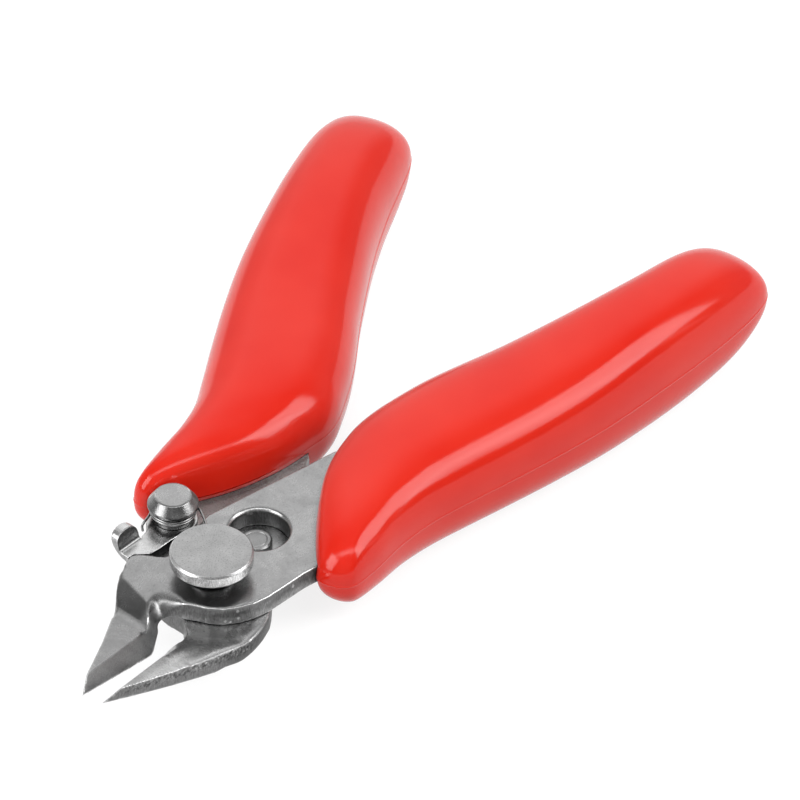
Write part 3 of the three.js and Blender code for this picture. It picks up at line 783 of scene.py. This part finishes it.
def return_spring():
    """Coils down round the pivot from the rivet's slot and ends in an upright leg."""
    top, turns, radius, pitch, steps = 2.92, 1.625, 2.2, 0.37, 30
    points = [(-1.1, 0.12, top), (-1.7, 0.12, top), (-2.12, -0.02, top)]
    for i in range(1, steps + 1):
        a = math.pi + 2 * math.pi * turns * i / steps
        z = top - pitch * turns * i / steps
        points.append((radius * math.cos(a), radius * math.sin(a), z))
    points += [(1.9, 1.98, 2.2), (2.0, 2.0, 1.85), (2.0, 2.0, 0.9)]
    add_spring("return_spring", points, radius=0.17,
               body="lower_body", z=top, other_body="upper_body", other_z=2.2)


def latch_spring():
    """Coils up round the latch post and runs as an arm to the rivet's neck."""
    def round_post(degrees, radius, z):
        a = math.radians(degrees)
        return (POST_AT[0] + radius * math.cos(a), POST_AT[1] + radius * math.sin(a), z)

    start, sweep, radius, bottom, climb, steps = 120, 910, 2.12, 1.82, 0.72, 34
    points = [(3.52, 9.62, 0.72), (3.5, 9.66, 1.3), (3.78, 9.6, 1.62), round_post(128, 2.3, 1.78)]
    for i in range(1, steps + 1):
        points.append(round_post(start - sweep * i / steps, radius, bottom + climb * i / steps))
    points += [(7.0, 5.35, 2.66), (5.6, 3.95, 2.86), (4.3, 2.95, 3.14), (3.1, 2.1, 3.29),
               (1.7, 1.28, 3.29), (0.6, 2.0, 3.29), (-0.6, 2.02, 3.29)]
    add_spring("latch_spring", points, radius=0.13,
               body="latch", z=1.75, other_body="lower_body", other_z=2.5)


return_spring()
latch_spring()


# ------------------------------------------------------------------ latch lever
def latch_lever():
    tab_at = (0.82, 10.0, 0)
    outward = np.array((0.235, 0.972, 0))  # from the lever's body through its thumb tab
    underside = 0.06

    def finish(co):
        return np.column_stack((co[:, 0], co[:, 1], np.maximum(co[:, 2], underside)))

    def tones(co, nrm):
        x, _, z = co.T
        upright = np.abs(nrm[:, 2])
        painted_light_and_tone = np.where(upright < 0.6, 0.75, 1.0)
        # painted shade on the inside of the thumb tab
        out = (co - tab_at) @ outward
        painted_light_and_tone = np.where((z > 1.2) & (nrm @ outward < -0.3) & (out > -1.2), 0.30, painted_light_and_tone)
        # painted shadow on the edge in the gap beside the pivot
        in_gap = (upright < 0.5) & (nrm[:, 1] < -0.3) & (x < 4.2) & (z < 1.2)
        return np.where(in_gap, 0.15, painted_light_and_tone), np.zeros(len(co))

    add_pressed("latch_lever_steel", "latch_lever", "latch", LEVER_STEEL,
                voxel=0.055, rounds=[(even(0.9), 6)], finish=finish, tones=tones, keep_share=0.5)


latch_lever()

# ------------------------------------------------------------------ grips
# Stations from the mouth to the rounded end, drawn for the +y grip:
# outer point (x, y), inner point (x, y), half thickness, squareness of the section.
GRIP = [
    ((7.2, 10.9), (18.42, 2.55), 2.5, 2.4), ((6.92, 11.05), (18.5, 2.38), 3.2, 2.4),
    ((6.65, 11.45), (19.15, 1.97), 3.8, 2.5), ((6.7, 12.2), (20.45, 1.53), 4.35, 2.5),
    ((7.75, 12.95), (22.3, 1.2), 4.8, 2.6), ((10.9, 13.0), (24.55, 1.0), 5.2, 2.6),
    ((15.0, 12.8), (26.9, 1.37), 5.65, 2.6), ((19.1, 13.2), (29.5, 2.1), 6.0, 2.6),
    ((23.4, 14.6), (32.4, 3.05), 6.13, 2.6), ((28.3, 16.35), (35.8, 4.45), 6.15, 2.6),
    ((34.0, 18.25), (39.7, 6.25), 6.2, 2.6), ((40.05, 19.95), (44.3, 8.15), 6.35, 2.6),
    ((46.4, 21.2), (49.5, 10.15), 6.5, 2.6), ((52.2, 22.2), (54.8, 11.8), 6.4, 2.5),
    ((57.7, 22.85), (59.7, 13.0), 5.8, 2.5), ((61.35, 22.95), (62.65, 13.75), 4.75, 2.4),
    ((63.8, 22.55), (64.6, 14.7), 3.25, 2.3), ((65.1, 21.4), (65.45, 16.3), 1.6, 2.2),
]
# inner points of the latch side grip's first stations
LATCH_SIDE_INNER = [(18.5, 2.85), (18.75, 2.72), (19.4, 2.5), (20.7, 2.15), (22.5, 1.72),
                    (24.6, 1.25)]
GRIP_TIP = (65.72, 18.9)
TIP_SQUARENESS = 2.1
MOUTH_X, MOUTH_Y = 0.52, 0.85  # the mouth faces -x and, in the table above, -y
MOUTH_BOW = 0.5  # how far the middle of the mouth's edge bows forward
LIP_SHARES = (0.03, 0.15, 0.32, 0.5, 0.68, 0.84)  # thickness of the rings that close the mouth
LIP_INSET = 0.35
GRIP_STEPS = 7  # rings per station
HALF_SECTION_STEPS = 52
PARTING_ANGLES = [0.0, 0.0022, 0.0075, 0.016]  # extra section angles at the parting line
PARTING_HEIGHT, PARTING_HALF_WIDTH = 0.055, 0.14
REST_Z = -5.05  # flat underside
REST_ROUND = 0.45  # the side curves on to it over this height


def spin(point, degrees):
    x, y = point
    a = math.radians(degrees)
    return (x * math.cos(a) - y * math.sin(a), x * math.sin(a) + y * math.cos(a))


def grip_rows(side, turn, mouth_shift, lip, lip_bow, inner_points):
    """Rows of outer x, y, inner x, y, half thickness, squareness and bow, from the mouth on."""
    rows = []
    for k, (outer, inner, half, squareness) in enumerate(GRIP):
        if k < len(inner_points):
            inner = inner_points[k]
        shift = mouth_shift * max(0, 1 - k / 7)
        dx, dy = -MOUTH_X * shift, -MOUTH_Y * shift
        rows.append([*spin((outer[0] + dx, side * (outer[1] + dy)), turn),
                     *spin((inner[0] + dx * 0.4, side * (inner[1] + dy * 0.4)), turn),
                     half, squareness, MOUTH_BOW * max(0, 1 - k / 5)])
    first, last = rows[0], rows[-1]
    tip = spin((GRIP_TIP[0], side * GRIP_TIP[1]), turn)
    before = [2 * a - b for a, b in zip(first, rows[1])]
    apex = [*tip, *tip, 0.0, TIP_SQUARENESS, 0.0]
    beyond = [*last[2:4], *last[:2], -last[4], TIP_SQUARENESS, 0.0]
    controls = [np.array(row) for row in (before, *rows, apex, beyond)]

    # the mouth rolls in to the steel
    outer, inner = Vector(first[:2]), Vector(first[2:4])
    forward = Vector((-MOUTH_X, -side * MOUTH_Y))
    across = (outer - inner).normalized()
    lips = []
    for t in LIP_SHARES:
        out = 1 - t * t
        inset = LIP_INSET * (1 - t) ** 2
        lips.append([*(outer - across * inset + forward * lip * out),
                     *(inner + across * inset + forward * lip * out),
                     first[4] * t, first[5], first[6] + lip_bow * out])
    return lips + [row.tolist() for row in curve(controls, GRIP_STEPS)], tip


def section_angles():
    angles = []
    for start in (0.0, math.pi):
        angles += [start + e for e in PARTING_ANGLES]
        angles += [start + math.pi * (j + 0.5) / HALF_SECTION_STEPS
                   for j in range(HALF_SECTION_STEPS)]
        angles += [start + math.pi - e for e in PARTING_ANGLES[1:]]
    return sorted(angles)


def grip_ring(row, angles, side, middle_z):
    """One squared oval, with the parting line's fine ridge and the flat underside."""
    outer_x, outer_y, inner_x, inner_y, half, squareness, bow = row
    cx, cy = (outer_x + inner_x) / 2, (outer_y + inner_y) / 2
    ax, ay = (outer_x - inner_x) / 2, (outer_y - inner_y) / 2
    half_width = math.hypot(ax, ay)
    ring = []
    for angle in angles:
        cosine, sine = math.cos(angle), math.sin(angle)
        if abs(sine) < 1e-9:
            sine = 0.0
        u = math.copysign(abs(cosine) ** (2 / squareness), cosine)
        v = math.copysign(abs(sine) ** (2 / squareness), sine)
        forward = bow * (1 - u * u)
        ridge = PARTING_HEIGHT * max(0.0, 1 - abs(v) * half / PARTING_HALF_WIDTH)
        ridge *= min(1.0, max(0.0, (half - 1.0) / 1.5))  # dies out where the grip is thin
        ridge = math.copysign(ridge, cosine)
        z = middle_z + half * v
        over = z - REST_Z
        if over < -REST_ROUND:
            z = REST_Z
        elif over < REST_ROUND:
            z = REST_Z + (over + REST_ROUND) ** 2 / (4 * REST_ROUND)
        ring.append((cx + ax * u - MOUTH_X * forward + ax / half_width * ridge,
                     cy + ay * u - side * MOUTH_Y * forward + ay / half_width * ridge, z))
    return ring


def smooth_mouth(rings):
    """Evens the roll from the mouth to the body, in place."""
    end = len(LIP_SHARES) + 4 * GRIP_STEPS
    along = np.arange(end + 1) / end
    weight = (0.95 * fade(along, 0.6, 1.0))[1:end, None, None]
    for _ in range(70):
        middle = (rings[:end - 1] + rings[2:end + 1]) / 2
        rings[1:end] += weight * 0.5 * (middle - rings[1:end])


def grip_bm(side, turn, mouth_shift, middle_z, lip, lip_bow, inner_points=()):
    """side: +1 or -1 for the y side. turn: degrees about the pivot. mouth_shift: mm forward.
    lip, lip_bow: how far the mouth rolls forward, overall and at its middle."""
    rows, tip = grip_rows(side, turn, mouth_shift, lip, lip_bow, inner_points)
    angles = section_angles()
    rings = np.array([grip_ring(row, angles, side, middle_z) for row in rows])
    smooth_mouth(rings)
    n = len(angles)
    points = [tuple(point) for point in rings.reshape(-1, 3)]
    mouth_centre = len(points)
    last = mouth_centre - n
    points.append(tuple(sum(point[i] for point in points[:n]) / n for i in range(3)))
    points.append((*tip, middle_z))
    faces = []
    for r in range(len(rows) - 1):
        a, b = r * n, (r + 1) * n
        for j in range(n):
            k = (j + 1) % n
            faces.append((a + j, b + j, b + k, a + k))
    for j in range(n):
        k = (j + 1) % n
        faces.append((mouth_centre, j, k))
        faces.append((mouth_centre + 1, last + k, last + j))
    return bm_from(points, faces)


# Outline (x, y) of the steel inside a grip, drawn for the -y side: front, tang, inner edge.
FRONT_UPPER = [(3.0, -6.9), (4.42, -7.66), (6.37, -8.44)]
FRONT_LOWER = [(3.0, -8.2), (4.3, -9.05), (5.4, -9.7), (7.2, -10.3)]
TANG = [
    (9.5, -10.2), (14, -11.1), (20, -11.2), (27, -12.2), (34, -14.6), (42, -17.3), (50, -19.4),
    (56, -20.6), (57.6, -19.6), (57.9, -17.6), (56.6, -16.2), (50, -14.6), (42, -12.0),
    (34, -8.7), (28, -5.8), (23.5, -3.2),
]
INNER_EDGE = [(21.4, -1.42), (20.25, -0.92), (13.02, 2.17), (5.0, 2.2)]
UPPER_TANG_TURN = -2.4
POCKET_CLEARANCE = 0.04
POCKET_DEPTH, POCKET_OVERRUN = 2.14, 0.02  # from z = 0 outwards, and past it


def pocket_outline(*parts):
    """The joined outline, grown by the clearance."""
    points = sum(parts, [])
    grown = []
    for i, point in enumerate(points):
        here, before = Vector(point), Vector(points[i - 1])
        after = Vector(points[(i + 1) % len(points)])
        come, leave = (here - before).normalized(), (after - here).normalized()
        out = Vector((come.y, -come.x)) + Vector((leave.y, -leave.x))
        reach = min(2.0, 2 / max(0.4, out.length_squared))
        grown.append((here.x + out.x * reach * POCKET_CLEARANCE,
                      here.y + out.y * reach * POCKET_CLEARANCE))
    return grown


def add_grip(node, bm, pocket, body):
    add_solid(node + "_vinyl", cut_away(bm, pocket), body, node, VINYL,
              smooth_degrees=42)


def window_side_grip():
    tang = [spin(point, UPPER_TANG_TURN) for point in TANG]
    outline = pocket_outline(FRONT_UPPER, tang, INNER_EDGE)
    grip = grip_bm(side=-1, turn=-3.1, mouth_shift=3.0, middle_z=1.0, lip=0.1, lip_bow=0.0)
    pocket = prism_bm(outline, -POCKET_OVERRUN, POCKET_DEPTH)
    add_grip("window_side_grip", grip, pocket, "upper_body")


def latch_side_grip():
    outline = pocket_outline(FRONT_LOWER, TANG[1:], INNER_EDGE)
    mirrored = [(x, -y) for x, y in reversed(outline)]
    grip = grip_bm(side=1, turn=0.0, mouth_shift=0.0, middle_z=0.5, lip=0.12, lip_bow=0.38,
                   inner_points=LATCH_SIDE_INNER)
    pocket = prism_bm(mirrored, -POCKET_DEPTH, POCKET_OVERRUN)
    add_grip("latch_side_grip", grip, pocket, "lower_body")


window_side_grip()
latch_side_grip()

# ------------------------------------------------------------------ floor, light, camera (metres)
FLOOR_HALF = 1.2
FLOOR_DROP = 0.0001  # gap under the lowest point
AZIMUTH, ELEVATION = math.radians(-60.5), math.radians(40.9)
CAMERA_DISTANCE = 3.4
VIEW_HALF_WIDTH = 0.03846  # at the target
SENSOR_WIDTH = 36.0
TARGET = Vector((33.0, -2.0, -LIFT)) * MM
# "right" and "away" as the camera sees them, level with the floor
RIGHT = Vector((math.cos(AZIMUTH), math.sin(AZIMUTH), 0))
AWAY = Vector((-math.sin(AZIMUTH), math.cos(AZIMUTH), 0))
# Sky brightness over the tent: position from the horizon on the camera's side (0) over the
# zenith (0.5) to the far horizon (1), and brightness.
TENT = [(0.0, 0.26), (0.24, 0.24), (0.335, 0.24), (0.36, 3.0), (0.395, 3.0), (0.425, 0.22),
        (0.60, 0.30), (0.70, 0.72), (0.80, 0.80), (1.0, 0.62)]
TENT_STRENGTH = 4


def add_floor():
    low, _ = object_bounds()
    mesh = bpy.data.meshes.new("floor")
    s = FLOOR_HALF
    mesh.from_pydata([(-s, -s, 0), (s, -s, 0), (s, s, 0), (-s, s, 0)], [], [(0, 1, 2, 3)])
    floor = bpy.data.objects.new("floor", mesh)
    floor.location = (0, 0, low.z - FLOOR_DROP)
    bpy.context.scene.collection.objects.link(floor)
    mesh.materials.append(paper("floor_paper"))


def add_tent():
    """White tent: bright far side, a bright strip before the zenith, dim round the camera."""
    world = bpy.data.worlds.new("studio")
    bpy.context.scene.world = world
    graph = Graph(world)

    def along(direction):
        return graph.add("ShaderNodeVectorMath",
                         {0: graph.coord.outputs["Generated"], 1: tuple(direction)},
                         operation="DOT_PRODUCT").outputs["Value"]

    angle = graph.math("ARCTAN2", along((0, 0, 1)), along(-AWAY))
    half_turns = graph.math("DIVIDE", angle, math.pi)
    arch = graph.ramp(half_turns, *((place, level / TENT_STRENGTH) for place, level in TENT))
    sideways = graph.math("ABSOLUTE", along(RIGHT))
    side_fall = graph.ramp(sideways, (0.28, 1.0), (0.62, 0.42))  # dimmer to the sides
    colour = graph.multiply(arch, side_fall, share=1.0)
    sky = graph.add("ShaderNodeBackground", {"Color": colour, "Strength": TENT_STRENGTH})
    graph.add("ShaderNodeOutputWorld", {"Surface": sky.outputs[0]})


def look(obj, direction):
    obj.rotation_mode = "QUATERNION"
    obj.rotation_quaternion = direction.to_track_quat("-Z", "Y")
    bpy.context.scene.collection.objects.link(obj)


def add_softbox(name, *, right, away, up, width, height, watts):
    """A rectangular light aimed at the target and placed relative to it."""
    light = bpy.data.lights.new(name, "AREA")
    light.shape = "RECTANGLE"
    light.size, light.size_y, light.energy = width, height, watts
    obj = bpy.data.objects.new(name, light)
    place = TARGET + RIGHT * right + AWAY * away + Vector((0, 0, up))
    obj.location = place
    look(obj, TARGET - place)
    obj.visible_camera = False


def add_camera():
    back = Vector((math.sin(AZIMUTH) * math.cos(ELEVATION),
                   -math.cos(AZIMUTH) * math.cos(ELEVATION), math.sin(ELEVATION)))
    data = bpy.data.cameras.new("camera")
    data.sensor_width = SENSOR_WIDTH
    data.lens = SENSOR_WIDTH / 2 * CAMERA_DISTANCE / VIEW_HALF_WIDTH
    data.clip_start, data.clip_end = 0.1, 10.0
    camera = bpy.data.objects.new("camera", data)
    camera.location = TARGET + back * CAMERA_DISTANCE
    look(camera, -back)
    bpy.context.scene.camera = camera


add_floor()
add_tent()
add_softbox("softbox_left", right=-0.60, away=-0.34, up=0.36, width=0.40, height=0.5, watts=2.3)
add_softbox("softbox_right", right=0.64, away=-0.10, up=0.46, width=0.40, height=0.5, watts=2.2)
add_camera()
bpy.context.scene.view_settings.view_transform = "Standard"
bpy.context.scene.view_settings.exposure = 0.35
